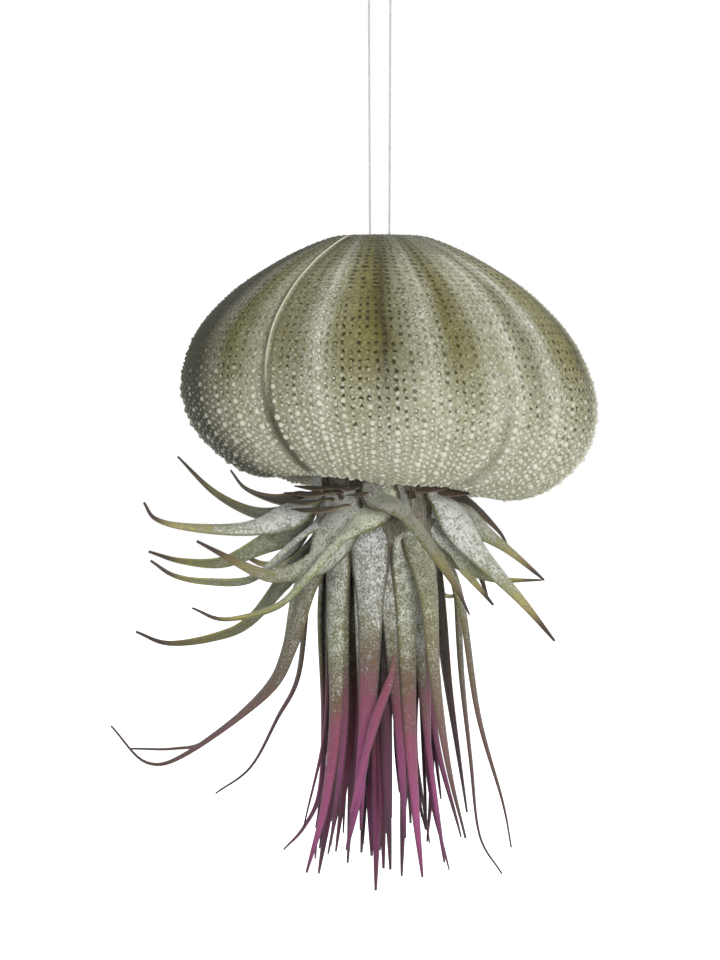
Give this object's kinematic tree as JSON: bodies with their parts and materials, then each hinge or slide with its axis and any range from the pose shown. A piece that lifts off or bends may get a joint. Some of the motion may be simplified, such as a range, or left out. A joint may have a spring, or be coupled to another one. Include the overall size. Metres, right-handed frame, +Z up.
{
  "type": "air plant holder",
  "caption": "Hanging air plant holder: a sea urchin test, mouth down on a loop of clear line from a screw hook, with an upside-down air plant in its mouth.",
  "frame": {"origin": "on the ceiling, on the axis of the hook's screw, where the collar's top meets the ceiling", "axes": "+Z up along the screw into the ceiling, +X to the right seen from the front, and the front faces -Y"},
  "size_m": [0.0979, 0.0867, 0.2247],
  "materials": {
    "hook_steel": "satin",
    "clear_nylon": "gloss",
    "disc_wood": "satin",
    "urchin_test": "matte",
    "leaf_base_felt": "matte",
    "root_fibre": "matte",
    "silver_leaf": "matte",
    "olive_leaf": "matte",
    "purple_leaf": "matte"
  },
  "bodies": {
    "ceiling_hook": {"screw_hook": "hook_steel", "ceiling_collar": "hook_steel"},
    "line_loop": {"hanging_line": "clear_nylon", "line_knot": "clear_nylon"},
    "disc": {"stopper_disc": "disc_wood"},
    "shell": {"urchin_shell": "urchin_test"},
    "air_plant": {"plant_stem": "leaf_base_felt", "dry_roots": "root_fibre", "spreading_leaf_01": "silver_leaf", "spreading_leaf_02": "silver_leaf", "spreading_leaf_03": "silver_leaf", "spreading_leaf_04": "silver_leaf", "spreading_leaf_05": "silver_leaf", "spreading_leaf_06": "silver_leaf", "spreading_leaf_07": "silver_leaf", "spreading_leaf_08": "silver_leaf", "spreading_leaf_09": "silver_leaf", "spreading_leaf_10": "silver_leaf", "spreading_leaf_11": "silver_leaf", "spreading_leaf_12": "silver_leaf", "spreading_leaf_13": "silver_leaf", "spreading_leaf_14": "silver_leaf", "spreading_leaf_15": "silver_leaf", "spreading_leaf_16": "silver_leaf", "spreading_leaf_17": "silver_leaf", "spreading_leaf_18": "silver_leaf", "spreading_leaf_19": "silver_leaf", "spreading_leaf_20": "silver_leaf", "drooping_leaf_01": "olive_leaf", "drooping_leaf_02": "olive_leaf", "drooping_leaf_03": "olive_leaf", "drooping_leaf_04": "olive_leaf", "drooping_leaf_05": "olive_leaf", "drooping_leaf_06": "olive_leaf", "drooping_leaf_07": "olive_leaf", "drooping_leaf_08": "olive_leaf", "drooping_leaf_09": "olive_leaf", "outer_ring_leaf_01": "purple_leaf", "outer_ring_leaf_02": "purple_leaf", "outer_ring_leaf_03": "purple_leaf", "outer_ring_leaf_04": "purple_leaf", "outer_ring_leaf_05": "purple_leaf", "outer_ring_leaf_06": "purple_leaf", "outer_ring_leaf_07": "purple_leaf", "outer_ring_leaf_08": "purple_leaf", "outer_ring_leaf_09": "purple_leaf", "middle_ring_leaf_01": "purple_leaf", "middle_ring_leaf_02": "purple_leaf", "middle_ring_leaf_03": "purple_leaf", "middle_ring_leaf_04": "purple_leaf", "middle_ring_leaf_05": "purple_leaf", "middle_ring_leaf_06": "purple_leaf", "heart_ring_leaf_01": "purple_leaf", "heart_ring_leaf_02": "purple_leaf", "heart_ring_leaf_03": "purple_leaf"}
  },
  "joints": [
    {"name": "line_swing", "type": "hinge", "parent": "ceiling_hook", "child": "line_loop", "pos_m": [0, 0, -0.02525], "axis": [0, 1, 0], "range_deg": [-25, 25]},
    {"name": "shell_nod", "type": "hinge", "parent": "line_loop", "child": "disc", "pos_m": [0, 0, -0.0795], "axis": [1, 0, 0], "range_deg": [-20, 20]},
    {"name": "shell_turn", "type": "hinge", "parent": "disc", "child": "shell", "pos_m": [0, 0, -0.0795], "axis": [0, 0, 1], "continuous": true},
    {"name": "plant_pull", "type": "slide", "parent": "shell", "child": "air_plant", "axis": [0, 0, -1], "range_m": [0, 0.03]}
  ]
}
